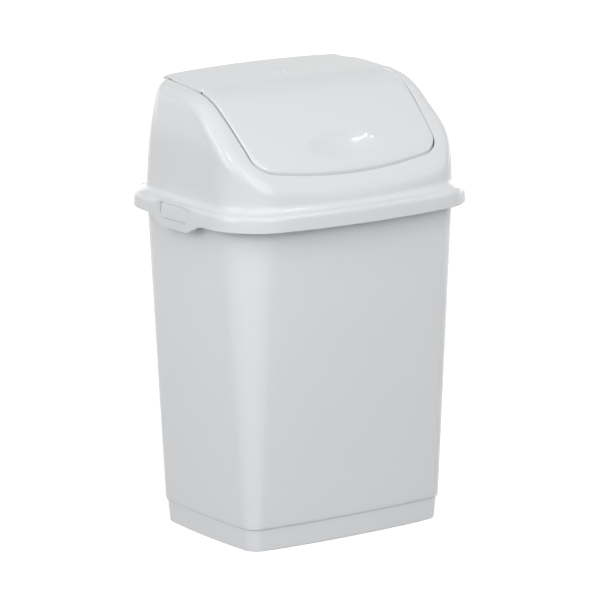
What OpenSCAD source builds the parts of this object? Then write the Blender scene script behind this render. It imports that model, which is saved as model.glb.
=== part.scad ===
// Countertop waste bin with a hooded lid and a swing flap.
// Three mouldings: a tapered bucket, a hood that drops over its rim, and a
// flap hung on two moulded pins inside the hood. Front is -Y, up is +Z, and
// the origin is the middle of the face that it stands on.

/* [Bin body] */
// Height of the bucket from the table to its rim
bin_h = 228.2; // [180:0.2:300]
// Width just above the foot band, between the corners of the side walls
base_w = 156; // [120:1:170]
// Depth just above the foot band
base_d = 110; // [80:1:118]
// Corner radius just above the foot band
base_corner = 9.4; // [5:0.2:20]
// Width at the rim
rim_w = 180; // [172:0.5:182]
// Depth at the rim
rim_d = 130.6; // [122:0.2:131]
// Corner radius at the rim
rim_corner = 25.4; // [15:0.2:27]
// How far the front and back walls bow out at the foot
base_bow = 4; // [0:0.2:8]
// How far the front and back walls bow out at the rim
rim_bow = 9.2; // [2:0.2:10]
// How far the side walls bow out
side_bow = 2.6; // [0:0.2:3]
// Wall of the bucket
bin_wall = 1.8; // [1.4:0.1:2.6]
// Thickness of the bucket's floor
floor_t = 2.2; // [1.6:0.1:4]

/* [Foot band] */
// Height of the band round the foot
foot_h = 15; // [8:0.5:25]
// How far the band steps in under the wall
foot_step = 1.2; // [0.6:0.1:2]
// How much the band narrows on each side towards the table
foot_draft = 1.1; // [0.2:0.1:2]
// Width of the ring that it stands on
foot_ring = 2.6; // [2:0.1:4]
// Depth of the recess inside that ring
foot_recess = 1.6; // [0.8:0.1:3]

/* [Rim flange] */
// Thickness of the flange that the lid sits on
flange_t = 2; // [1.6:0.1:3]
// Depth of its turned-down edge
flange_drop = 5.5; // [3.5:0.1:7]
// Air between the flange and the inside of the lid's skirt
rim_clear = 0.8; // [0.5:0.1:1.4]
// Air under the lid where it rests on the rim
seat_gap = 0.3; // [0.2:0.05:0.5]

/* [Lid skirt] */
// Width of the skirt at its lower edge, between the corners
skirt_w = 195; // [194:0.5:206]
// Depth of the skirt at its lower edge
skirt_d = 144.8; // [143.8:0.2:156]
// Corner radius of the skirt
skirt_corner = 29.5; // [27:0.5:36]
// How far the skirt's front and back bow out
skirt_bow = 11.2; // [9.2:0.2:14]
// How far its sides bow out
skirt_side_bow = 3.4; // [2.6:0.2:6]
// Height of the skirt
skirt_h = 11.2; // [9:0.2:14]
// How much the skirt narrows towards its top
skirt_draft = 0.6; // [0.2:0.1:1.5]
// Radius of the skirt's top edge
skirt_round = 3.5; // [2:0.1:3.7]
// Wall of the lid
lid_wall = 2; // [1.6:0.1:2.4]

/* [Side catches] */
// Half width of the pull tab where it leaves the skirt
tab_top = 29.3; // [22:0.5:36]
// Half width of the pull tab at its lower edge
tab_foot = 16; // [14:0.5:20]
// How far the tab hangs below the skirt
tab_h = 6.6; // [4:0.2:9]
// Width of the window in the tab
window_w = 31; // [24:0.5:34]
// Height of the window
window_h = 11.4; // [8:0.2:12]
// Corner radius of the window
window_corner = 3; // [1:0.2:3.4]
// Air between the catch on the bucket and the window's edges
catch_side_gap = 0.6; // [0.4:0.1:1.2]
// Air between the face of the catch and the inside of the skirt
catch_gap = 0.35; // [0.3:0.05:0.6]

/* [Hood] */
// How far the hood's sides stand in from the skirt
hood_side_in = 6.1; // [5.5:0.1:9]
// How far its front and back stand in from the skirt
hood_front_in = 7.2; // [5.5:0.1:10]
// Corner radius of the hood where it leaves the skirt
hood_corner = 28.5; // [20:0.5:30]
// How far the hood's front and back bow out
hood_bow = 8.8; // [6:0.2:11]
// How far its sides bow out
hood_side_bow = 2.2; // [1:0.1:4]
// Height from the skirt's top to where the roof starts to bend down
roof_h = 70.8; // [60:0.1:84]
// Where the roof starts to bend down, behind the middle
roof_bend_y = 8.5; // [2:0.5:14]
// Rise of the roof towards the back, in degrees
roof_rise = 2.8; // [0:0.2:8]
// Radius of the bend
bend_r = 50; // [35:1:70]
// Slope of the face just below the bend, in degrees
face_slope = 37; // [33:0.5:40]
// Radius of the gentle curve down the face
face_r = 315; // [270:5:420]
// How far the sides lean in at the roof
side_lean = 6; // [3:0.1:8]
// How far the back leans in at the roof
back_lean = 9.6; // [5:0.1:12]
// Radius over the cheeks
cheek_r = 12; // [7:0.5:13]
// Radius over the top edge of the back
back_r = 5.5; // [4:0.5:8]
// Radius of the front lip
lip_r = 14; // [8:0.5:18]

/* [Flap] */
// Widest part of the flap
flap_w = 150; // [140:0.5:151]
// How much narrower each side is at the front
front_taper = 2.3; // [0:0.1:4]
// How much narrower each side is at the back edge of the roof
back_taper = 5.2; // [2:0.1:7]
// Front edge of the flap, in front of the middle
flap_front = 63.8; // [58:0.2:66]
// How much the front edge curves back towards the sides, at its corners
front_curve = 4.2; // [2:0.2:6]
// Length of the rounded front corners across the flap
corner_x = 12.4; // [6:0.2:16]
// Length of the rounded front corners along the flap
corner_y = 9.6; // [6:0.2:12]
// Height of the apron's lower edge above the skirt, at the back
apron_z = 41.5; // [34:0.5:52]
// Radius of the apron's lower corners
apron_corner = 7; // [3:0.5:10]
// Wall of the flap
flap_wall = 1.8; // [1.4:0.1:2.2]
// How far the flap stands proud of the cheeks
flap_proud = 1; // [0.3:0.1:1.2]
// How far its rear lips stand proud of the hood
rear_proud = 1.4; // [0.8:0.1:1.5]
// Extra height of the flap's crown along the middle
flap_crown = 0.8; // [0:0.1:2]
// Width of the flap's rounded edge
edge_w = 2.6; // [1.5:0.1:4]
// Drop of the flap's rounded edge
edge_drop = 1.2; // [0.6:0.1:1.4]
// Air between the flap and the sides of the hood's opening
gap_side = 0.6; // [0.5:0.1:1.2]
// Air between the flap's front edge and the opening
gap_front = 0.35; // [0.3:0.05:0.8]

/* [Finger recess] */
// Half width of the dish in the flap's face
dish_x = 28.2; // [20:0.2:34]
// Half length of the dish, seen from above
dish_y = 8.4; // [6:0.2:9.4]
// Its middle, behind the front edge of the flap
dish_in = 13.8; // [12.6:0.2:19]
// Its depth
dish_depth = 3; // [1:0.1:4]

/* [Pivot] */
// Place of the pivot behind the middle
pivot_y = -5; // [-9:0.5:-1]
// Height of the pivot above the skirt's top
pivot_h = 59.4; // [56:0.2:61]
// Radius of the flap's pins
pin_r = 3; // [2:0.1:4]
// Clearance of a pin in its socket
pin_clear = 0.07; // [0.03:0.01:0.1]
// Outer radius of the sockets
socket_r = 5.6; // [5:0.2:7]
// Length of the sockets
socket_l = 6.5; // [4:0.5:7]
// Radius of the flap's ears
ear_r = 6.6; // [5.5:0.2:7.6]
// Depth of the curb round the hood's opening
curb_d = 11; // [8:0.5:13]
// Thickness of that curb
curb_t = 1.8; // [1.4:0.1:2.4]
// Width of the seat under the flap's rear lips
seat_w = 4.2; // [3:0.2:5]
// Air between a rear lip and its seat
lip_gap = 0.4; // [0.3:0.05:0.8]
// Depth of the flange under the flap's edges
rib_d = 6; // [4:0.5:8]
// How far in the flange's inner face stands from the flap's edge
rib_in = 2; // [1.6:0.1:2.4]

/* [Hidden] */
body_white = [0.86, 0.87, 0.88];
lid_white = [0.88, 0.89, 0.90];
flap_white = [0.90, 0.91, 0.92];

lid_z = bin_h + seat_gap + lid_wall;      // top of the skirt
skirt_a = skirt_w / 2;
skirt_b = skirt_d / 2;
hood_a = skirt_a - hood_side_in;
hood_b = skirt_b - hood_front_in;
ledge_in = skirt_draft + skirt_round;     // where the ledge starts, in from the skirt
pivot_z = lid_z + pivot_h;
corner_n = 7;                             // steps round each corner
arc_n = 5;                                // steps over each rounded edge
catch_x = skirt_a + skirt_side_bow * (1 - pow(window_w / skirt_d, 2)) - skirt_draft
    - lid_wall - catch_gap;               // face of the catch, inside the skirt
window_z = lid_z - lid_wall - 0.2 - window_h;

// ---------------------------------------------------------------- helpers
function unit(v) = v / norm(v);
function mix(a, b, t) = a + (b - a) * t;
function clamp(v, lo, hi) = min(max(v, lo), hi);
function at(p, z) = [p.x, p.y, z];

// Stations along the straight sides, as shares of their half length. The side
// ones include the corners of the pull tab.
tab_1 = tab_top / (skirt_b - skirt_corner);
tab_2 = tab_foot / (skirt_b - skirt_corner);
half_side = [(1 + tab_1) / 2, tab_1, (tab_1 + tab_2) / 2, tab_2, tab_2 / 2];
side_at = concat(half_side, [0], [for (k = [4:-1:0]) -half_side[k]]);
front_at = [for (k = [1:7]) 1 - k / 4];

// One level: a rectangle of half sizes a and b with round corners, walked
// anticlockwise, its front and back bowed out by bf and its sides by bs.
function level(a, b, r, bf, bs) =
    let (flat = [for (q = [0:3]) each concat(
        [for (k = [0:corner_n]) let (t = 90 * (q + k / corner_n),
            sx = (q == 0 || q == 3) ? 1 : -1, sy = q < 2 ? 1 : -1)
            [sx * (a - r) + r * cos(t), sy * (b - r) + r * sin(t)]],
        q == 0 ? [for (f = front_at) [(a - r) * f, b]] :
        q == 1 ? [for (f = side_at) [-a, (b - r) * f]] :
        q == 2 ? [for (f = front_at) [-(a - r) * f, -b]] :
        [for (f = side_at) [a, -(b - r) * f]])])
    [for (p = flat) [p.x + bs * p.x / a * (1 - pow(p.y / b, 2)),
                     p.y + bf * p.y / b * (1 - pow(p.x / a, 2))]];

function lift(loop, z) = [for (p = loop) at(p, z)];

// A closed skin through loops of equal length. Open ends are capped; a ring
// joins its last loop to its first.
module skin(loops, ring = false) {
    n = len(loops[0]);
    m = len(loops);
    polyhedron(
        points = [for (l = loops) each l],
        faces = concat(
            [for (k = [0:m - (ring ? 1 : 2)], i = [0:n - 1])
                let (a = k * n, b = ((k + 1) % m) * n, j = (i + 1) % n)
                each [[a + i, b + j, a + j], [a + i, b + i, b + j]]],
            ring ? [] : [[for (i = [0:n - 1]) i],
                         [for (i = [n - 1:-1:0]) (m - 1) * n + i]]),
        convexity = 10);
}

// ---------------------------------------------------------------- bucket
wall_z = foot_h + foot_step;              // where the wall starts above the band

function bin_wall_at(z, off) =
    let (t = (z - wall_z) / (bin_h - wall_z))
    level(mix(base_w, rim_w, t) / 2 + off, mix(base_d, rim_d, t) / 2 + off,
          max(mix(base_corner, rim_corner, t) + off, 2),
          mix(base_bow, rim_bow, t), side_bow);

function foot_at(z, off) =
    let (o = off - foot_step - foot_draft * (1 - z / foot_h))
    level(base_w / 2 + o, base_d / 2 + o, base_corner + o / 2, base_bow, side_bow);

function skirt_at(off) =
    level(skirt_a + off, skirt_b + off, skirt_corner + off, skirt_bow, skirt_side_bow);

flange_off = -lid_wall - rim_clear - skirt_draft;

module bucket() {
    skin([
        lift(foot_at(0, -foot_ring - 9), foot_recess),
        lift(foot_at(0, -foot_ring - 1), foot_recess),
        lift(foot_at(0, -foot_ring), 0),
        lift(foot_at(0, -0.7), 0),
        lift(foot_at(0.7, 0), 0.7),
        lift(foot_at(foot_h, 0), foot_h),
        lift(bin_wall_at(wall_z, -0.2), wall_z - 0.3),
        lift(bin_wall_at(wall_z + 0.8, 0), wall_z + 0.8),
        lift(bin_wall_at(bin_h / 2, 0), bin_h / 2),
        lift(bin_wall_at(bin_h - flange_t - 1, 0), bin_h - flange_t - 1),
        lift(bin_wall_at(bin_h - flange_t, 1), bin_h - flange_t),
        lift(skirt_at(flange_off - bin_wall), bin_h - flange_t),
        lift(skirt_at(flange_off - bin_wall), bin_h - flange_t - flange_drop),
        lift(skirt_at(flange_off), bin_h - flange_t - flange_drop),
        lift(skirt_at(flange_off), bin_h - 0.9),
        lift(skirt_at(flange_off - 0.9), bin_h),
        lift(bin_wall_at(bin_h, 0.6 - bin_wall), bin_h),
        lift(bin_wall_at(bin_h, -bin_wall), bin_h - 0.6),
        lift(bin_wall_at(bin_h / 2, -bin_wall), bin_h / 2),
        lift(bin_wall_at(wall_z + 4, -bin_wall), wall_z + 4),
        lift(foot_at(foot_h - 2, -bin_wall), foot_h - 2),
        lift(foot_at(foot_recess + floor_t + 4, -bin_wall), foot_recess + floor_t + 4),
        lift(foot_at(foot_recess + floor_t + 1.2, -bin_wall - 1.2),
             foot_recess + floor_t + 1.2),
        lift(foot_at(foot_recess + floor_t, -bin_wall - 4), foot_recess + floor_t)]);
}

// The catch that shows in the lid's side window: a wedge on the bucket's side
// that starts on the wall and stops just inside the skirt.
module catch() {
    root = rim_w / 2 + side_bow - bin_wall / 2;
    low = window_z - 3.4;
    top = bin_h - 0.4;
    w = window_w - 2 * catch_side_gap;
    translate([0, w / 2, 0])
        rotate([90, 0, 0])
            linear_extrude(w)
                polygon([[root - 0.7, low], [root + 1.4, low], [catch_x, window_z - 1.5],
                         [catch_x, top], [root, top]]);
}

module bin_body() {
    color(body_white)
        union() {
            bucket();
            catch();
            mirror([1, 0, 0]) catch();
        }
}

// ---------------------------------------------------------------- hood shape
// The roof and face in the middle plane: a straight roof, a bend, then a long
// gentle curve down the face.
roof_z = lid_z + roof_h;
bend_y = roof_bend_y + bend_r * sin(roof_rise);
bend_z = roof_z - bend_r * cos(roof_rise);
face_y0 = bend_y - bend_r * sin(face_slope);
face_z0 = bend_z + bend_r * cos(face_slope);
face_y = face_y0 + face_r * sin(face_slope);
face_z = face_z0 - face_r * cos(face_slope);

function roof_at(y) =
    y >= roof_bend_y ? roof_z + tan(roof_rise) * (y - roof_bend_y) :
    y >= face_y0 ? bend_z + sqrt(pow(bend_r, 2) - pow(y - bend_y, 2)) :
    face_z + sqrt(pow(face_r, 2) - pow(y - face_y, 2));

function roof_normal(y) =
    unit([0, -(roof_at(y + 0.25) - roof_at(y - 0.25)) / 0.5, 1]);

// Walls of the hood: every point of its base outline leans in as it rises.
hood_out = level(hood_a, hood_b, hood_corner, hood_bow, hood_side_bow);
hood_in = level(hood_a - lid_wall, hood_b - lid_wall, hood_corner - lid_wall,
                hood_bow, hood_side_bow);

function lean(p, h) =
    let (q = pow(max(h, 0) / (roof_h + 4), 2))
    [p.x * (1 - side_lean / hood_a * q),
     p.y * (1 - (p.y > 0 ? back_lean / hood_b * q : 0.0015 * h / 10)),
     lid_z + h];

// Height at which a wall point meets the roof
function meet(p, h, n = 6) = n == 0 ? h : meet(p, roof_at(lean(p, h).y) - lid_z, n - 1);

// A round of radius r at corner c, between the directions to p and q, as
// pairs of a point and its outward normal.
function round_at(c, p, q, r, most) =
    let (u = unit(p - c), v = unit(q - c), half = acos(u * v) / 2,
         t = min(r / tan(half), norm(p - c), most), s = t * tan(half),
         o = c + unit(u + v) * s / sin(half),
         a = unit(c + u * t - o), b = unit(c + v * t - o), w = acos(a * b))
    [for (k = [0:arc_n]) let (f = k / arc_n,
        d = (a * sin(w * (1 - f)) + b * sin(w * f)) / sin(w)) [o + d * s, d, s]];

// ---------------------------------------------------------------- flap outline
front_w = flap_w / 2 - front_taper;       // half width where the front corners start
back_w = flap_w / 2 - back_taper;
mouth_w = front_w - corner_x;             // half width of the curved front edge
apron_low = lid_z + apron_z;
back_at = roof_bend_y + 44;               // where the back width is reached
back_edge = back_at - 2;                  // back edge of the opening, before the back is cut

// Half width of the flap at a distance y along the roof and face
function half_w(y) =
    y < -20 ? flap_w / 2 - front_taper * (-20 - y) / (flap_front - corner_y - 20) :
    y < roof_bend_y ? flap_w / 2 - 0.7 * max(0, y) / roof_bend_y :
    flap_w / 2 - 0.7 - (back_taper - 0.7) * (y - roof_bend_y) / 44;

// Rounded front corner: half width at a height up from the front edge
function corner_w(up, inset) =
    mouth_w + (corner_x - inset) * sqrt(max(0, 1 - pow(1 - up / corner_y, 2)));

// The rows near the front edge curve back towards the sides
function row_y(y, x) =
    y + front_curve * pow(x / mouth_w, 2) * clamp((-38 - y) / (flap_front - 38), 0, 1);

// Outline of the opening in plan, point for point with the outline of the hood
notch_y = 6.5;                            // where the seats for the rear lips start
open_side = [36, 30, 22, notch_y + 1.5, notch_y, pivot_y + 5.5, pivot_y - 1,
             pivot_y - 8.5, -21, -29, -38];
open_right = concat(
    [for (y = open_side) [half_w(y), y]],
    [for (k = [0:corner_n]) let (up = corner_y * (1 - sin(90 * k / corner_n)),
        w = corner_w(up, 0)) [w, row_y(up - flap_front, w)]],
    [for (k = [3:-1:1]) let (x = mouth_w * k / 4) [x, row_y(-flap_front, x)]]);
back_x = half_w(back_at) + 0.4;
open_back = concat(
    [for (x = [0:14:42]) [x, back_edge]],
    [for (x = [54, 63, back_x - 1.5]) [x, back_edge]],
    [[back_x, back_edge - 1.5]],
    [for (d = [3.5, 5.5, 9, 12]) [half_w(back_edge - d) + 0.1, back_edge - d]]);
n_right = len(open_right);
n_back = len(open_back);
// anticlockwise from the right end of the back right corner
open_loop = concat(
    [for (k = [n_back - 1:-1:1]) open_back[k]], [open_back[0]],
    [for (k = [1:n_back - 1]) [-open_back[k].x, open_back[k].y]],
    [for (p = open_right) [-p.x, p.y]], [[0, -flap_front]],
    [for (k = [n_right - 1:-1:0]) open_right[k]]);

function plan_normal(loop, i) =
    let (n = len(loop), d = unit(loop[(i + 1) % n] - loop[(i + n - 1) % n]))
    [d.y, -d.x];

// One point of the opening's edge, moved out in plan by d, on the roof
function open_pt(i, d, down) =
    let (g = plan_normal(open_loop, i), o = mix(gap_side, gap_front, pow(max(0, -g.y), 4)),
         p = open_loop[i] + g * (o + d))
    at(p, roof_at(p.y) - down);

// Everything that one meridian of the hood needs: where it meets the roof and
// the round between wall and roof.
meridians = [for (i = [0:len(hood_out) - 1])
    let (p = hood_out[i], g = plan_normal(hood_out, i), h = meet(p, roof_h),
         c = lean(p, h), low = lean(p, max(h - 14, 0.5 * h)),
         m = [c.x - 12 * g.x, c.y - 12 * g.y], q = at(m, roof_at(m.y)),
         r = cheek_r * pow(g.x, 2) + (g.y > 0 ? back_r : lip_r) * pow(g.y, 2),
         free = c - open_pt(i, 1.4, 0))
    [h, round_at(c, low, q, r, 0.8 * (free.x * g.x + free.y * g.y))]];

function foot_of(i) = min(4.5, 0.42 * meridians[i][0]);
function wall_at(loop, i, k) =
    lean(loop[i], mix(foot_of(i), meridians[i][1][0][0].z - lid_z, k));

n_hood = len(hood_out);
span = [0:n_hood - 1];
ledge = skirt_at(-ledge_in);

function tab_drop(p) =
    abs(p.x) > skirt_a - 0.5
        ? tab_h * clamp((tab_top - abs(p.y)) / (tab_top - tab_foot), 0, 1) : 0;

// Lower edge of the skirt, which dips to make the two pull tabs
function skirt_foot(off, up) =
    let (s = skirt_at(0), l = skirt_at(off))
    [for (i = span) at(l[i], lid_z - skirt_h - tab_drop(s[i]) + up)];

// Depth of the opening's edge under the roof: the seat's level, and the foot
// of the curb, which is deepest round the sockets
seat_down = lip_gap + flap_wall - rear_proud;
function behind(i) = open_loop[i].y > notch_y + 0.5;
function edge_down(i) = behind(i) ? seat_down : 1.6;
function seat(i) = behind(i) && open_loop[i].y < back_edge - 5 ? seat_w : 0;
function curb_down(i) =
    let (p = open_loop[i])
    behind(i) ? seat_down + 2.6 :
    abs(p.x) < front_w - 3 ? 0.55 * curb_d :
    p.y > pivot_y - 9 ? roof_at(p.y) - pivot_z + socket_r + 1.2 : curb_d;

module hood_shell() {
    skin(ring = true, loops = concat(
        [skirt_foot(-lid_wall, 0),
         skirt_foot(-0.5, 0),
         skirt_foot(0, 0.5),
         lift(skirt_at(-skirt_draft), lid_z - skirt_round)],
        [for (t = [30:30:90]) lift(skirt_at(-skirt_draft - skirt_round * (1 - cos(t))),
                                   lid_z - skirt_round * (1 - sin(t)))],
        // the hollow where the hood leaves the ledge
        [for (t = [30:30:90]) [for (i = span)
            let (w = lean(hood_out[i], foot_of(i)), l = at(ledge[i], lid_z))
            at(mix(l, w, sin(t)), lid_z + foot_of(i) * (1 - cos(t)))]],
        [for (k = [1:2]) [for (i = span) wall_at(hood_out, i, k / 3)]],
        [for (k = [0:arc_n]) [for (i = span) meridians[i][1][k][0]]],
        // the opening: rounded edge, seat for the flap's rear lips, curb
        [for (e = [[1.4, 0], [0.4, 0.2], [0, 0.6], [0, 1]])
            [for (i = span) open_pt(i, e[0], e[1] * edge_down(i))]],
        [for (e = [0, 1]) [for (i = span)
            open_pt(i, -seat(i), mix(edge_down(i) + 0.5, curb_down(i), e))]],
        [for (e = [1, 0]) [for (i = span)
            open_pt(i, curb_t, mix(lid_wall + 0.4, curb_down(i), e))]],
        [for (k = [arc_n:-1:0]) [for (i = span) let (m = meridians[i][1][k])
            m[0] - m[1] * lid_wall]],
        [for (k = [1:-1:0]) [for (i = span) wall_at(hood_in, i, k / 2)]],
        [[for (i = span) at(hood_in[i], lid_z - lid_wall)]],
        [lift(skirt_at(-skirt_draft - lid_wall), lid_z - lid_wall)]));
}

// What the apron's opening takes out of the back of the shell
module back_opening() {
    translate([0, skirt_b + 20, 0])
        rotate([90, 0, 0])
            linear_extrude(skirt_b + 20 - back_edge + 1.9)
                translate([0, apron_low - gap_side])
                    offset(r = apron_corner)
                        translate([-back_w - gap_side + apron_corner, apron_corner])
                            square([2 * (back_w + gap_side - apron_corner), roof_h]);
}

module window() {
    translate([-skirt_w, 0, window_z + window_h / 2])
        rotate([90, 0, 90])
            linear_extrude(2 * skirt_w)
                offset(r = window_corner)
                    square([window_w - 2 * window_corner, window_h - 2 * window_corner],
                           center = true);
}

pin_x = half_w(pivot_y);                  // side face of the flap at the pivot
socket_x = pin_x + gap_side + curb_t / 2; // inside the curb's wall there

module along_x(x, r, l) {
    translate([x, pivot_y, pivot_z])
        rotate([0, 90, 0])
            cylinder(r = r, h = l, $fn = 48);
}

module lid_hood() {
    color(lid_white)
        difference() {
            union() {
                difference() {
                    hood_shell();
                    back_opening();
                    window();
                }
                along_x(socket_x, socket_r, socket_l);
                along_x(-socket_x - socket_l, socket_r, socket_l);
            }
            along_x(socket_x - 2, pin_r + pin_clear, socket_l + 4);
            along_x(-socket_x - socket_l - 2, pin_r + pin_clear, socket_l + 4);
        }
}

// ---------------------------------------------------------------- flap
// The back wall in one column of the flap, at height h above the skirt
function back_y(x, h) =
    let (c = max(0, abs(x) - (hood_a - hood_corner)),
         y = hood_b - hood_corner + sqrt(pow(hood_corner, 2) - c * c),
         p = [x, y + hood_bow * y / hood_b * (1 - pow(x / hood_a, 2))])
    lean(p, h).y;

function back_meet(x, h, n = 5) =
    n == 0 ? h : back_meet(x, roof_at(back_y(x, h)) - lid_z, n - 1);

function back_round(x) =
    let (h = back_meet(x, roof_h), c = [x, back_y(x, h), lid_z + h],
         low = [x, back_y(x, h - 12), lid_z + h - 12],
         q = [x, c.y - 12, roof_at(c.y - 12)])
    round_at(c, low, q, back_r, 10);

// Rows of the flap. A row on the face or roof is its distance y; one on the
// round over the back edge is round_row + its step; one on the apron is
// apron_row + its share of the way down.
round_row = 200;
apron_row = 300;
ear_row = pivot_y - 1.5 * ear_r;          // first row of the ears
dish_mid = dish_in - flap_front;
dish_top = dish_mid + dish_y;
flap_rows = concat(
    [for (t = [0:15:45]) corner_y * (1 - cos(t)) - flap_front],
    [for (k = [-4:4]) dish_mid + dish_y * k / 4],
    [for (k = [1:3]) mix(dish_top, ear_row, k / 4)],
    [for (k = [-3:2]) pivot_y + k * ear_r / 2],
    [3, 3.4, 4.8, 5.2, roof_bend_y, 14, 23, 33, 43],
    [for (k = [arc_n:-1:0]) round_row + k],
    [for (s = [0.3, 0.6, 0.8, 0.9, 0.96, 1]) apron_row + s]);

// Columns: a share of the dish, of the way from there to the rounded edge,
// and of that edge
half_cols = concat([for (k = [1:5]) [k / 5, 0, 0]],
                   [for (k = [0.25, 0.6, 1]) [1, k, 0]],
                   [for (k = [0.55, 0.85, 1]) [1, 1, k]]);
cols = concat([for (k = [len(half_cols) - 1:-1:0]) -half_cols[k]], [[0, 0, 0]], half_cols);

// Half width of each row less an inset, with the small notch behind the pivot
function row_w(r, inset) =
    r < corner_y - flap_front ? corner_w(r + flap_front, inset) :
    r < round_row ? half_w(r) - inset - (r > 3.3 && r < 5 ? 1.3 : 0) :
    r < apron_row ? back_w - inset :
    let (d = min((apron_row + 1 - r) * (roof_h - apron_z) / apron_corner, 1))
    back_w - apron_corner + (apron_corner - inset) * sqrt(max(0, 1 - pow(1 - d, 2)));

// The grid is bent round the dish, so that one ring of it is the dish's rim
function bent(x, y) =
    let (p = [x / dish_x, (y - dish_mid) / dish_y], m = max(abs(p.x), abs(p.y)),
         s = p / max(m, 1), fade = max(0, 1 - max(m - 1, 0) / (0.9 * (dish_in / dish_y - 1))),
         d = [s.x * (sqrt(1 - s.y * s.y / 2) - 1), s.y * (sqrt(1 - s.x * s.x / 2) - 1)])
    [x + d.x * fade * dish_x, y + d.y * fade * dish_y];

// Depth of the dish: steep under its upper rim, and flat towards its foot
function dish(p) =
    let (u = p.x / dish_x, v = (p.y - dish_mid) / dish_y, q = 1 - u * u - v * v)
    q < 0.001 ? 0 : dish_depth * pow(q, 1.3 - 0.4 * v) * (1 + 0.45 * v);

// How far the flap's edge stands proud of the hood in one row
function proud(r) =
    r < round_row ? mix(flap_proud, rear_proud, clamp((r - pivot_y) / 12, 0, 1)) :
    r < apron_row ? rear_proud : mix(rear_proud, flap_proud, r - apron_row);

// A point on the hood's own surface, and the normal there
function flap_base(x, r, inset) =
    r < round_row ? let (up = r + flap_front,
        y = row_y(up < corner_y ? r + inset * (1 - up / corner_y) : r, x))
        [[x, y, roof_at(y)], roof_normal(y)] :
    r < apron_row ? let (b = back_round(x)[r - round_row]) [b[0], b[1]] :
    let (t = back_round(x)[0][0].z - lid_z, h = mix(t, apron_z + inset, r - apron_row))
    [[x, back_y(x, h), lid_z + h], unit([0, 1, 0.25 * h / roof_h])];

function edge_round(d) =
    edge_drop * (1 - sqrt(max(0, 1 - pow(1 - min(d / edge_w, 1), 2))));

// A point of the flap at a depth under its outer surface
function flap_pt(c, r, inset, depth) =
    let (w = row_w(r, inset),
         x = c[0] * dish_x + c[1] * (w - edge_w - dish_x) + c[2] * edge_w,
         on = r < round_row, p = on ? bent(x, r) : [x, r],
         b = flap_base(p.x, p.y, inset),
         d = min(w - abs(x), on ? r + flap_front :
                 r < apron_row ? edge_w : (apron_row + 1 - r) * (roof_h - apron_z)),
         up = proud(r) + flap_crown * (1 - pow(x / (w + inset), 2)) - (on ? dish(p) : 0),
         n = depth > flap_wall && on ? [0, 0, 1] : b[1])
    b[0] + n * (up - (depth == 0 ? edge_round(d) : depth));

// Depth of the flange round the flap's edge: none on the rear lips and the
// apron, and deepest at the ears that carry the pins
function flange_down(r) =
    r > pivot_y + ear_r + 0.1 ? flap_wall :
    let (d = abs(r - pivot_y))
    d >= ear_r ? rib_d : roof_at(r) - pivot_z + sqrt(pow(ear_r, 2) - d * d);

module flap_shell() {
    nc = len(cols);
    nr = len(flap_rows);
    n = nc * nr;
    quad = function (a, b, c, d) [[a, b, c], [a, c, d]];
    rim = concat([for (c = [0:nc - 2]) c], [for (r = [0:nr - 2]) r * nc + nc - 1],
                 [for (c = [nc - 1:-1:1]) (nr - 1) * nc + c],
                 [for (r = [nr - 1:-1:1]) r * nc]);
    m = len(rim);
    // the same edge on four levels: outer skin, foot of the flange outside and
    // inside, and inner skin
    level_at = function (k, s) s == 0 ? rim[k % m] : s == 3 ? n + rim[k % m] :
        2 * n + (s - 1) * m + k % m;
    polyhedron(
        points = concat(
            [for (r = flap_rows, c = cols) flap_pt(c, r, 0, 0)],
            [for (r = flap_rows, c = cols) flap_pt(c, r, rib_in + 1, flap_wall)],
            [for (s = [0.4, rib_in], k = rim) let (r = flap_rows[floor(k / nc)])
                flap_pt(cols[k % nc], r, s, flange_down(r))]),
        faces = concat(
            [for (r = [0:nr - 2], c = [0:nc - 2]) let (a = r * nc + c)
                each quad(a, a + nc, a + nc + 1, a + 1)],
            [for (r = [0:nr - 2], c = [0:nc - 2]) let (a = n + r * nc + c)
                each quad(a, a + 1, a + nc + 1, a + nc)],
            [for (k = [0:m - 1], s = [0:2])
                each quad(level_at(k, s), level_at(k + 1, s),
                          level_at(k + 1, s + 1), level_at(k, s + 1))]),
        convexity = 10);
}

module swing_flap() {
    color(flap_white)
        union() {
            flap_shell();
            for (s = [0, 1]) mirror([s, 0, 0])
                along_x(pin_x - rib_in - 1.2, pin_r, gap_side + rib_in + socket_l + 1.4);
        }
}

bin_body();
lid_hood();
swing_flap();
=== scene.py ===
# %% [markdown]
# # A countertop waste bin with a hood and a swing flap
#
# The real bin is three smooth white mouldings: a tapered bucket, a hood that drops over its
# rim, and a flap that swings on two pins inside the hood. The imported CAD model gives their
# exact shapes and places. This lesson gives them the finish of moulded plastic, a studio and
# a camera. All lengths are in metres. The front is towards -Y and the left side towards -X.

# %% Load the fixed frame
import math

import bpy
from mathutils import Matrix, Vector


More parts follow.
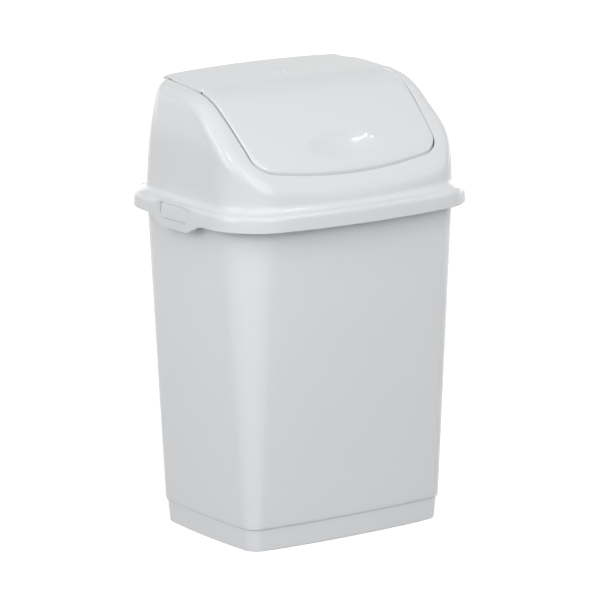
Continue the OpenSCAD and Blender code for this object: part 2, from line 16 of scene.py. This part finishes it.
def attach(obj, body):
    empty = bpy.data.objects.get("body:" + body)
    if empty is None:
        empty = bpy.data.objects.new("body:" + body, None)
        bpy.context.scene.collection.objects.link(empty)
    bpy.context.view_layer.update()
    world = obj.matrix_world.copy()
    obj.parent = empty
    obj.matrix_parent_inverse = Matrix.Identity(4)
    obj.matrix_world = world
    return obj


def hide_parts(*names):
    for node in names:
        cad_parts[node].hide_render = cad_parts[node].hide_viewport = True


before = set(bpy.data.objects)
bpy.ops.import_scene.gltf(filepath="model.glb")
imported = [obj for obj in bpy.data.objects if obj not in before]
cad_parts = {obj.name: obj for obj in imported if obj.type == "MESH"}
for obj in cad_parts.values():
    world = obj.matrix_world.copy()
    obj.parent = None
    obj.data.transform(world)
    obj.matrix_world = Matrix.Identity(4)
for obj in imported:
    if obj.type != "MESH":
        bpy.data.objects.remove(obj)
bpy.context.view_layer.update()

# %% [markdown]
# ## Picking by a rule
#
# By hand, edges and faces are picked with the mouse before a tool works on them. A script can
# pick them by a rule about their place or their direction. The select mode is set first: in
# the wrong mode Blender also picks the neighbours, and the tool then works on too much.

# %% Pick one object, or some of its edges or faces
def mode(name):
    bpy.ops.object.mode_set(mode=name)


def only(piece):
    if bpy.context.object and bpy.context.object.mode != "OBJECT":
        mode("OBJECT")
    bpy.ops.object.select_all(action="DESELECT")
    piece.select_set(True)
    bpy.context.view_layer.objects.active = piece


def clear_selection(piece, kind):
    only(piece)
    mode("EDIT")
    bpy.ops.mesh.select_mode(type=kind)
    bpy.ops.mesh.select_all(action="DESELECT")
    mode("OBJECT")


def edit_edges(piece, wanted):
    clear_selection(piece, "EDGE")
    for edge in piece.data.edges:
        edge.select = wanted(*[piece.data.vertices[i].co for i in edge.vertices])
    count = sum(edge.select for edge in piece.data.edges)
    mode("EDIT")
    return count


def edit_faces(piece, wanted):
    clear_selection(piece, "FACE")
    for face in piece.data.polygons:
        face.select = wanted(face)
    count = sum(face.select for face in piece.data.polygons)
    mode("EDIT")
    return count


print("helpers ready")

# %% [markdown]
# ## Smooth copies of the mouldings
#
# The CAD nodes are lofts of flat facets. A moulding has no facets. More facets in the CAD
# would make it slow, and smooth shading alone would leave corners in the outline. So each
# node is copied, its loose triangles are joined, pairs of them become quads, and a
# subdivision surface rounds them. The edges that are sharp on the mould are creased before
# that, so that they stay. A piece whose outline changes is reshaped while its mesh is coarse.

# %% Smooth copy of a CAD node
SAME_POINT = 8e-6                               # points closer than this are joined
MOST_BENT, MOST_SKEWED = math.radians(25), math.radians(60)    # triangle pairs made quads
CREASE_FROM = math.radians(40)                  # edges sharper than this stay sharp
SHADE_UNDER = math.radians(35)                  # edges flatter than this are shaded smooth
ROUNDS = 2


def smooth_copy(node, name, reshape=None):
    piece = bpy.data.objects.new(name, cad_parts[node].data.copy())
    bpy.context.scene.collection.objects.link(piece)
    only(piece)
    mode("EDIT")
    bpy.ops.mesh.select_all(action="SELECT")
    bpy.ops.mesh.customdata_custom_splitnormals_clear()
    bpy.ops.mesh.remove_doubles(threshold=SAME_POINT)
    bpy.ops.mesh.tris_convert_to_quads(face_threshold=MOST_BENT, shape_threshold=MOST_SKEWED)
    mode("OBJECT")
    if reshape:
        reshape(piece)
    clear_selection(piece, "EDGE")
    mode("EDIT")
    bpy.ops.mesh.edges_select_sharp(sharpness=CREASE_FROM)
    bpy.ops.transform.edge_crease(value=1)
    mode("OBJECT")
    rounder = piece.modifiers.new("rounder", "SUBSURF")
    rounder.levels = rounder.render_levels = ROUNDS
    bpy.ops.object.modifier_apply(modifier=rounder.name)
    bpy.ops.object.shade_smooth_by_angle(angle=SHADE_UNDER)
    print(name, len(piece.data.polygons), "faces")
    return piece


# %% [markdown]
# ## The side windows
#
# The skirt of the real hood has a window on each side, which the bucket's catch snaps into.
# Its upper edge runs up into the round of the skirt. A hole could be cut with a boolean, but
# the CAD copy has one already, only a little smaller, so its outline is stretched instead.
# The points keep to the skirt's face, which a small table gives by height. Points further
# than STILL_Y from the middle stay where they are, and those between share the stretch.

# %% The skirt's side face
SKIRT = ((0.2169, 0.10058), (0.2220, 0.10035), (0.2269, 0.10014), (0.2280, 0.09987),
         (0.2287, 0.09966), (0.2295, 0.09891), (0.2305, 0.0976))       # height, distance out
TAB_BOW, TAB_HALF = 0.00019, 0.016                                     # bow of the pull tab


def between(table, at):
    """The value of a table of pairs at a place, on straight lines between its rows."""
    for (a, value_a), (b, value_b) in zip(table, table[1:]):
        if at <= b:
            return value_a + (value_b - value_a) * max(0.0, at - a) / (b - a)
    return table[-1][1]


def skirt_face(y, z):
    return between(SKIRT, z) + TAB_BOW * (1 - (y / TAB_HALF) ** 2)


print("skirt, half width at the window's foot", round(skirt_face(0, SKIRT[0][0]), 5))

# %% Window outline, a little larger and higher than in the solid
WINDOW_HALF, WINDOW_LOW, WINDOW_TOP = 0.0155, 0.2169, 0.2283
WIDER, LOW_UP, TOP_UP = 1.078, 0.0019, 0.0012
STILL_Y, LEDGE_Z = 0.0222, 0.2305
SKIRT_INSIDE, SKIN, TINY = 0.0965, 0.0004, 1e-5
SPREAD = (STILL_Y - WINDOW_HALF * WIDER) / (STILL_Y - WINDOW_HALF)


def larger_window(piece):
    moved = 0
    for vertex in piece.data.vertices:
        x, y, z = vertex.co
        if abs(x) < SKIRT_INSIDE or abs(y) > STILL_Y or z < WINDOW_LOW - TINY:
            continue
        was = skirt_face(y, z)
        outer = abs(x) > was - SKIN
        beside = abs(y) > WINDOW_HALF + TINY
        in_window = not beside and z < WINDOW_TOP + TINY
        y = math.copysign(STILL_Y - (STILL_Y - abs(y)) * SPREAD, y) if beside else y * WIDER
        if in_window and z < (WINDOW_LOW + WINDOW_TOP) / 2:
            z += LOW_UP
        elif in_window and outer:
            z += TOP_UP
        elif outer and WINDOW_TOP < z < LEDGE_Z:
            z += TOP_UP * (LEDGE_Z - z) / (LEDGE_Z - WINDOW_TOP)
        x += math.copysign(skirt_face(y, z) - was, x)
        vertex.co = (x, y, z)
        moved += 1
    print("window points moved", moved)


# %% [markdown]
# ## The flap's rear lips
#
# Behind its pins the flap rests on the hood with a thin lip on each side. On the real flap
# the lip has an upright edge. The solid's lip is round there and would show a dark slot.
# So the nose of each row of points is drawn down to the underside, and the points above it
# follow by what is left of the round. The air under the lip stays.

# %% Upright edge on the flap's rear lips
LIP_FROM_X, LIP_LAST_Y, LIP_FROM_Z = 0.060, 0.070, 0.296      # where the lips are
SAME_ROW = 0.0016                                             # how far apart in y a row is
LIP_RINGS = ((0.0002, 0.0007, 0.00055), (0.0008, 0.0018, 0.00048),
             (0.0020, 0.0032, 0.00006))                       # in from the nose, and drop
LIP_LOWER, NOSE_OVER = 0.00022, 0.00005


def upright_lips(piece):
    lips = [v for v in piece.data.vertices if abs(v.co.x) > LIP_FROM_X
            and 0.0 < v.co.y < LIP_LAST_Y and v.co.z > LIP_FROM_Z]
    moves = []
    for nose in lips:
        row = [v for v in lips if abs(v.co.y - nose.co.y) < SAME_ROW
               and v.co.x * nose.co.x > 0 and v.index != nose.index]
        if not row or any(abs(v.co.x) > abs(nose.co.x) - TINY for v in row):
            continue
        under = max((v for v in row if v.co.z < nose.co.z), key=lambda v: abs(v.co.x))
        moves.append((nose.index, under.co.z - LIP_LOWER + NOSE_OVER - nose.co.z))
        moves.append((under.index, -LIP_LOWER))
        for v in row:
            inward = abs(nose.co.x) - abs(v.co.x)
            for near, far, drop in LIP_RINGS:
                if v.co.z > nose.co.z and near < inward < far:
                    moves.append((v.index, -drop))
    for index, rise in moves:
        piece.data.vertices[index].co.z += rise
    print("lip points moved", len(moves))


# %% [markdown]
# ## The three mouldings
#
# Each copy takes the place of its solid, rides on the same body and keeps the same plastic.

# %% Bucket, hood and flap
bucket = smooth_copy("bin_body", "bucket")
hood = smooth_copy("lid_hood", "hood", larger_window)
flap = smooth_copy("swing_flap", "flap", upright_lips)
for piece, node, body, slot in ((bucket, "bin_body", "bin", "bin_plastic"),
                                (hood, "lid_hood", "lid", "lid_plastic"),
                                (flap, "swing_flap", "flap", "flap_plastic")):
    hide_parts(node)
    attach(piece, body)

# %% [markdown]
# ## The gate mark
#
# The plastic enters the flap's mould in the middle of the roof. It leaves a shallow round dip,
# with the stub of the gate in it. A bump in the material would show only in the light, so the
# mark is made in the mesh. The roof's faces are too wide for it. Those round it are divided,
# and then one point is pulled with its neighbours: down for the dip, up for the stub.

# %% Divide a round patch of the skin, and pull its middle
UPWARD = 0.5                                    # normals steeper than this are on the skin
PATCH_CUTS = 2


def distance(point, centre):
    return (Vector(point[:2]) - Vector(centre)).length


def divide_patch(piece, centre, reach):
    count = edit_faces(piece, lambda face: face.normal.z > UPWARD
                       and distance(face.center, centre) < reach)
    bpy.ops.mesh.subdivide(number_cuts=PATCH_CUTS)
    mode("OBJECT")
    print("faces divided", count)


def pull(piece, centre, reach, height):
    clear_selection(piece, "VERT")
    skin = [v for v in piece.data.vertices if v.normal.z > UPWARD]
    min(skin, key=lambda v: distance(v.co, centre)).select = True
    mode("EDIT")
    bpy.ops.transform.translate(value=(0, 0, height), use_proportional_edit=True,
                                use_proportional_connected=True,
                                proportional_edit_falloff="SMOOTH", proportional_size=reach)
    mode("OBJECT")


# %% Dip and stub
DIP_AT, DIP_PATCH, DIP_REACH, DIP_DEPTH = (0.004, 0.026), 0.013, 0.0105, 0.0012
STUB_AT, STUB_PATCH, STUB_REACH, STUB_HEIGHT = (0.004, 0.0235), 0.0030, 0.0021, 0.0013
divide_patch(flap, DIP_AT, DIP_PATCH)
pull(flap, DIP_AT, DIP_REACH, -DIP_DEPTH)
divide_patch(flap, STUB_AT, STUB_PATCH)
pull(flap, STUB_AT, STUB_REACH, STUB_HEIGHT)
bpy.ops.object.shade_smooth_by_angle(angle=SHADE_UNDER)
print("flap", len(flap.data.polygons), "faces")

# %% [markdown]
# ## Catch plates
#
# In each side window the bucket's catch shows as a plate, almost flush with the skirt. The
# solid's catch is a wedge behind the skirt, so the plate that is seen is made here. It starts
# as a block. Its corners are bevelled, and it is cut across so that it can bend. Then its
# face is laid just under the skirt's face, and the rim of that face is eased.

# %% One catch plate on the left side
PLATE_X, PLATE_THICK = -0.0985, 0.0018
PLATE_LOW, PLATE_TOP = WINDOW_LOW + LOW_UP + 0.0001, WINDOW_TOP + TOP_UP - 0.0004
PLATE_WIDTH = 2 * WINDOW_HALF * WIDER - 0.0006
PLATE_CORNER, CORNER_STEPS = 0.0029, 6
CUTS_Y = (-0.0125, -0.0085, -0.0045, 0.0, 0.0045, 0.0085, 0.0125)
CUTS_Z = (0.2222, 0.2252, 0.2271, 0.2281)

bpy.ops.object.select_all(action="DESELECT")
bpy.ops.mesh.primitive_cube_add(size=1, location=(PLATE_X, 0, (PLATE_LOW + PLATE_TOP) / 2),
                                scale=(PLATE_THICK, PLATE_WIDTH, PLATE_TOP - PLATE_LOW))
plate = bpy.context.object
plate.name = "catch_plate_left"
bpy.ops.object.transform_apply(location=True, rotation=True, scale=True)
print("corners", edit_edges(plate, lambda a, b: abs(a.x - b.x) > PLATE_THICK / 2))
bpy.ops.mesh.bevel(offset=PLATE_CORNER, segments=CORNER_STEPS, affect="EDGES")
for place, across in [((0, y, 0), (0, 1, 0)) for y in CUTS_Y] + [((0, 0, z), (0, 0, 1))
                                                                 for z in CUTS_Z]:
    bpy.ops.mesh.select_all(action="SELECT")
    bpy.ops.mesh.bisect(plane_co=place, plane_no=across)
mode("OBJECT")

# %% Its face laid under the skirt's, and the rim of the face eased
PLATE_AIR, PLATE_TAPER = 0.00018, 0.89          # below the skirt's face, height of the back
EASED_RIM, RIM_STEPS, FACES_OUT = 0.0002, 3, -0.7

for vertex in plate.data.vertices:
    x, y, z = vertex.co
    if x < PLATE_X:
        vertex.co.x = PLATE_AIR - skirt_face(y, z)
    else:
        vertex.co.z = PLATE_LOW + (z - PLATE_LOW) * PLATE_TAPER
print("front faces", edit_faces(plate, lambda face: face.normal.x < FACES_OUT))
bpy.ops.mesh.region_to_loop()
bpy.ops.mesh.bevel(offset=EASED_RIM, segments=RIM_STEPS, affect="EDGES")
mode("OBJECT")
bpy.ops.object.shade_smooth_by_angle(angle=SHADE_UNDER)
print("plate", len(plate.data.polygons), "faces")

# %% [markdown]
# ## The other catch plate
#
# The right side is the mirror of the left, so the second plate is a copy with a mesh of its
# own, turned over in x. Mirroring turns a mesh inside out, so its faces are turned back.

# %% Mirrored copy on the right side
twin = bpy.data.objects.new("catch_plate_right", plate.data.copy())
bpy.context.scene.collection.objects.link(twin)
for vertex in twin.data.vertices:
    vertex.co.x *= -1
only(twin)
mode("EDIT")
bpy.ops.mesh.select_all(action="SELECT")
bpy.ops.mesh.normals_make_consistent(inside=False)
mode("OBJECT")
for piece in (plate, twin):
    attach(piece, "bin")
print("plates", plate.name, twin.name)

# %% [markdown]
# ## Shader maths
#
# A finish is a small sum over noise patterns. Drawing it as nodes by hand takes one node for
# each sign. Here one class wraps a socket, so that a sum is written as plain Python, and
# another wraps the sheet that the nodes lie on, which belongs to a material or to the sky.

# %% A socket that adds and multiplies
class Plug:
    def __init__(self, sheet, socket):
        self.sheet, self.socket = sheet, socket

    def maths(self, operation, other):
        return self.sheet.add("ShaderNodeMath", {0: self, 1: other}, operation=operation)

    def __add__(self, other):
        return self.maths("ADD", other)

    def __sub__(self, other):
        return self.maths("SUBTRACT", other)

    def __mul__(self, other):
        return self.maths("MULTIPLY", other)

    __radd__ = __add__


# %% A sheet of nodes
class Sheet:
    def __init__(self, owner):
        owner.use_nodes = True
        self.owner, self.tree = owner, owner.node_tree
        self.tree.nodes.clear()

    def add(self, kind, inputs, out=0, **settings):
        node = self.tree.nodes.new(kind)
        for key, value in settings.items():
            setattr(node, key, value)
        for key, value in inputs.items():
            if isinstance(value, Plug):
                self.tree.links.new(value.socket, node.inputs[key])
            else:
                node.inputs[key].default_value = value
        return Plug(self, node.outputs[out]) if node.outputs else None

    def noise(self, where, scale, detail):
        return self.add("ShaderNodeTexNoise", {"Vector": where, "Scale": scale,
                                               "Detail": detail})


print("shader helpers ready")

# %% [markdown]
# ## White polypropylene
#
# The plastic is a cool white with a glossy skin. Close up it isn't even: the colour drifts a
# little with the wall's thickness, the gloss is patchy where the mould's polish is, and the
# skin has a very fine orange peel with some longer waves where it shrank. Noise gives all of
# these. It uses Object coordinates, so the pattern stays on a piece when the piece moves.

# %% The plastic's finish
DRIFT, PATCHES, PEEL, WAVES = (9.0, 2.0), (60.0, 3.0), (1500.0, 2.0), (30.0, 1.0)
DARKEST, GLOSS_PATCHES, PEEL_SHARE = 0.975, 0.03, 0.05
BUMP_STRENGTH, BUMP_DEPTH = 0.06, 0.0004
IOR, SHEEN = 1.49, 0.3
MIX_A, MIX_B, MIX_RESULT = 6, 7, 2              # the colour sockets of a Mix node


def moulded_plastic(name, colour, gloss):
    sheet = Sheet(bpy.data.materials.new(name))
    where = sheet.add("ShaderNodeTexCoord", {}, "Object")
    drift, patches, peel, waves = (sheet.noise(where, *grain)
                                   for grain in (DRIFT, PATCHES, PEEL, WAVES))
    darker = tuple(c * DARKEST for c in colour) + (1.0,)
    paint = sheet.add("ShaderNodeMix", {"Factor": drift, MIX_A: darker,
                                        MIX_B: colour + (1.0,)}, MIX_RESULT, data_type="RGBA")
    bump = sheet.add("ShaderNodeBump", {"Strength": BUMP_STRENGTH, "Distance": BUMP_DEPTH,
                                        "Height": peel * PEEL_SHARE + waves})
    skin = sheet.add("ShaderNodeBsdfPrincipled",
                     {"Base Color": paint, "Roughness": gloss + (patches - 0.5) * GLOSS_PATCHES,
                      "Normal": bump, "IOR": IOR, "Specular IOR Level": SHEEN})
    sheet.add("ShaderNodeOutputMaterial", {"Surface": skin})
    print(name, "roughness about", gloss)
    return sheet.owner


# %% Bucket, catches, hood and flap in their plastic, the last three in darker copies as painted shade
bucket_white = moulded_plastic("bucket_white", (0.800, 0.811, 0.826), 0.17)
# painted shade: the catches are the bucket's own plastic, coloured darker than the bucket
catch_white_shaded = moulded_plastic("catch_white_shaded", (0.740, 0.750, 0.762), 0.17)
# painted shade: the hood and flap are the same plastic as the bucket, coloured darker than it
hood_white_shaded = moulded_plastic("hood_white_shaded", (0.728, 0.738, 0.750), 0.12)
flap_white = moulded_plastic("flap_white", (0.728, 0.738, 0.750), 0.12)
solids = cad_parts
for piece, finish in ((bucket, bucket_white), (plate, catch_white_shaded), (twin, catch_white_shaded),
                      (hood, hood_white_shaded), (flap, flap_white),
                      (solids["bin_body"], bucket_white), (solids["lid_hood"], hood_white_shaded),
                      (solids["swing_flap"], flap_white)):
    piece.data.materials.clear()
    piece.data.materials.append(finish)

# %% [markdown]
# ## Floor
#
# A product photo stands on pale paper that runs out to white. Enough light to make the paper
# white would burn out a white bin. So the floor glows, but only to the camera and in
# reflections, and a little less near the bin, which leaves the bin's soft shadow on it.

# %% Pale floor that looks white
FLOOR_SIZE, PAPER_GREY = 14, 0.40
GLOW_NEAR, GLOW_FAR = 0.78, 1.0
NEAR_UNTIL, FAR_FROM = 0.35, 1.1                # distances from the bin's middle


def seen_rays(sheet):
    """One on rays from the camera, in a mirror or through glass, and zero on others."""
    camera_ray, mirror_ray, through_ray = (
        sheet.add("ShaderNodeLightPath", {}, "Is %s Ray" % kind)
        for kind in ("Camera", "Glossy", "Transmission"))
    return camera_ray + mirror_ray + through_ray


bpy.ops.object.select_all(action="DESELECT")
bpy.ops.mesh.primitive_plane_add(size=FLOOR_SIZE, location=(0, 0, 0))
floor = bpy.context.object
floor.name = "floor"
paper = Sheet(bpy.data.materials.new("floor_paper"))
matt = paper.add("ShaderNodeBsdfDiffuse", {"Color": (PAPER_GREY,) * 3 + (1,)})
ground = paper.add("ShaderNodeTexCoord", {}, "Object")
away_from_bin = paper.add("ShaderNodeVectorMath", {0: ground}, "Value", operation="LENGTH")
far_share = paper.add("ShaderNodeMapRange", {"Value": away_from_bin, "From Min": NEAR_UNTIL,
                                             "From Max": FAR_FROM})
dark, near, far = (paper.add("ShaderNodeEmission", {"Color": (1, 1, 1, 1), "Strength": glow})
                   for glow in (0.0, GLOW_NEAR, GLOW_FAR))
glow = paper.add("ShaderNodeMixShader", {0: far_share, 1: near, 2: far})
lift = paper.add("ShaderNodeMixShader", {0: seen_rays(paper), 1: dark, 2: glow})
both = paper.add("ShaderNodeAddShader", {0: matt, 1: lift})
paper.add("ShaderNodeOutputMaterial", {"Surface": both})
floor.data.materials.append(paper.owner)
print("floor", FLOOR_SIZE, "m wide")

# %% [markdown]
# ## Sky
#
# The same trick keeps the background white: the sky is plain white where it is seen, and lights
# the bin only dimly and a little bluish, as the walls of a white studio would.

# %% Dim sky that looks white
SKY_COLOUR, SKY_LIGHT = (0.985, 0.99, 1.0, 1), 0.145
world = bpy.data.worlds.new("studio")
bpy.context.scene.world = world
sky = Sheet(world)
dim = sky.add("ShaderNodeBackground", {"Color": SKY_COLOUR, "Strength": SKY_LIGHT})
white = sky.add("ShaderNodeBackground", {"Color": (1, 1, 1, 1), "Strength": 1.0})
pick = sky.add("ShaderNodeMixShader", {0: seen_rays(sky), 1: dim, 2: white})
sky.add("ShaderNodeOutputWorld", {"Surface": pick})
print("sky light", SKY_LIGHT)

# %% [markdown]
# ## Softboxes
#
# A large soft light from the front and one from the left carry the picture. Two smaller ones
# higher up throw the skirt's shadow on the bucket. Weak ones fill the right side and the back,
# so that no side is dark when the bin is seen from behind. A few small or narrow ones give the
# bright spot in the finger recess and the bright lines along rounded edges.

# %% Lamps: from the front to the right and up in degrees, distance, width, height and watts
LAMPS = {"right_key": (36, 53, 2.2, 0.15, 0.10, 3.2),
         "right_spark": (50, 60, 2.2, 0.08, 0.08, 1.4),
         "lip_key": (21, 48, 2.2, 0.05, 0.50, 2.0),
         "left_key": (-50, 58, 2.2, 0.05, 0.70, 5.0),
         "left_fill": (-85, 20, 2.2, 1.2, 1.2, 17),
         "left_high": (-97, 44, 2.2, 0.6, 0.6, 4.8),
         "front_fill": (-12, 26, 2.4, 1.8, 1.2, 22.5),
         "front_high": (-10, 50, 2.2, 0.6, 0.6, 4.6),
         "right_fill": (60, 22, 2.4, 1.2, 1.2, 5),
         "right_back": (115, 8, 2.8, 2.4, 1.4, 20),
         "back_fill": (-173, 8, 3.0, 4.0, 1.6, 22)}
AIMED_AT = Vector((0, 0, 0.17))


def direction(azimuth, elevation):
    """The way from the bin towards a place, with azimuth 0 in front and positive rightwards."""
    return Vector((math.sin(azimuth) * math.cos(elevation),
                   -math.cos(azimuth) * math.cos(elevation), math.sin(elevation)))


for name, (azimuth, elevation, distance_off, width, height, watts) in LAMPS.items():
    lamp = bpy.data.lights.new(name, "AREA")
    lamp.shape = "RECTANGLE"
    lamp.size, lamp.size_y, lamp.energy = width, height, watts
    holder = bpy.data.objects.new(name, lamp)
    bpy.context.scene.collection.objects.link(holder)
    away = direction(math.radians(azimuth), math.radians(elevation))
    holder.location = AIMED_AT + away * distance_off
    holder.rotation_euler = away.to_track_quat("Z", "Y").to_euler()
print("lamps", len(LAMPS))

# %% [markdown]
# ## Camera
#
# The view was found by matching the outline of the bin: a long lens from the left of the
# front and a little above, almost without roll. A camera looks along its own -Z, so its axes
# are the right, the up and the back of the view.

# %% Camera
AZIMUTH, ELEVATION, ROLL = (math.radians(a) for a in (-34.40707, 12.76038, -0.44034))
MIDDLE, TO_RIGHT, UPWARDS, BACKWARDS = Vector((0, 0, 0.1768)), -0.000123, -0.024316, 3.131540
FOCAL_PIXELS, PICTURE_PIXELS, SENSOR_MM = 4672.70, 600, 36.0

back = direction(AZIMUTH, ELEVATION)
level = (-back).cross(Vector((0, 0, 1))).normalized()
upright = level.cross(-back)
right = level * math.cos(ROLL) + upright * math.sin(ROLL)
up = upright * math.cos(ROLL) - level * math.sin(ROLL)
eye = MIDDLE + right * TO_RIGHT + up * UPWARDS + back * BACKWARDS
camera = bpy.data.objects.new("camera", bpy.data.cameras.new("camera"))
bpy.context.scene.collection.objects.link(camera)
camera.matrix_world = Matrix.Translation(eye) @ Matrix((right, up, back)).transposed().to_4x4()
camera.data.sensor_width = SENSOR_MM
camera.data.lens = FOCAL_PIXELS / PICTURE_PIXELS * SENSOR_MM
camera.data.clip_start, camera.data.clip_end = 0.1, 60
bpy.context.scene.camera = camera
bpy.context.scene.view_settings.view_transform = "Standard"
print("camera", [round(x, 3) for x in eye], "lens", round(camera.data.lens, 1))
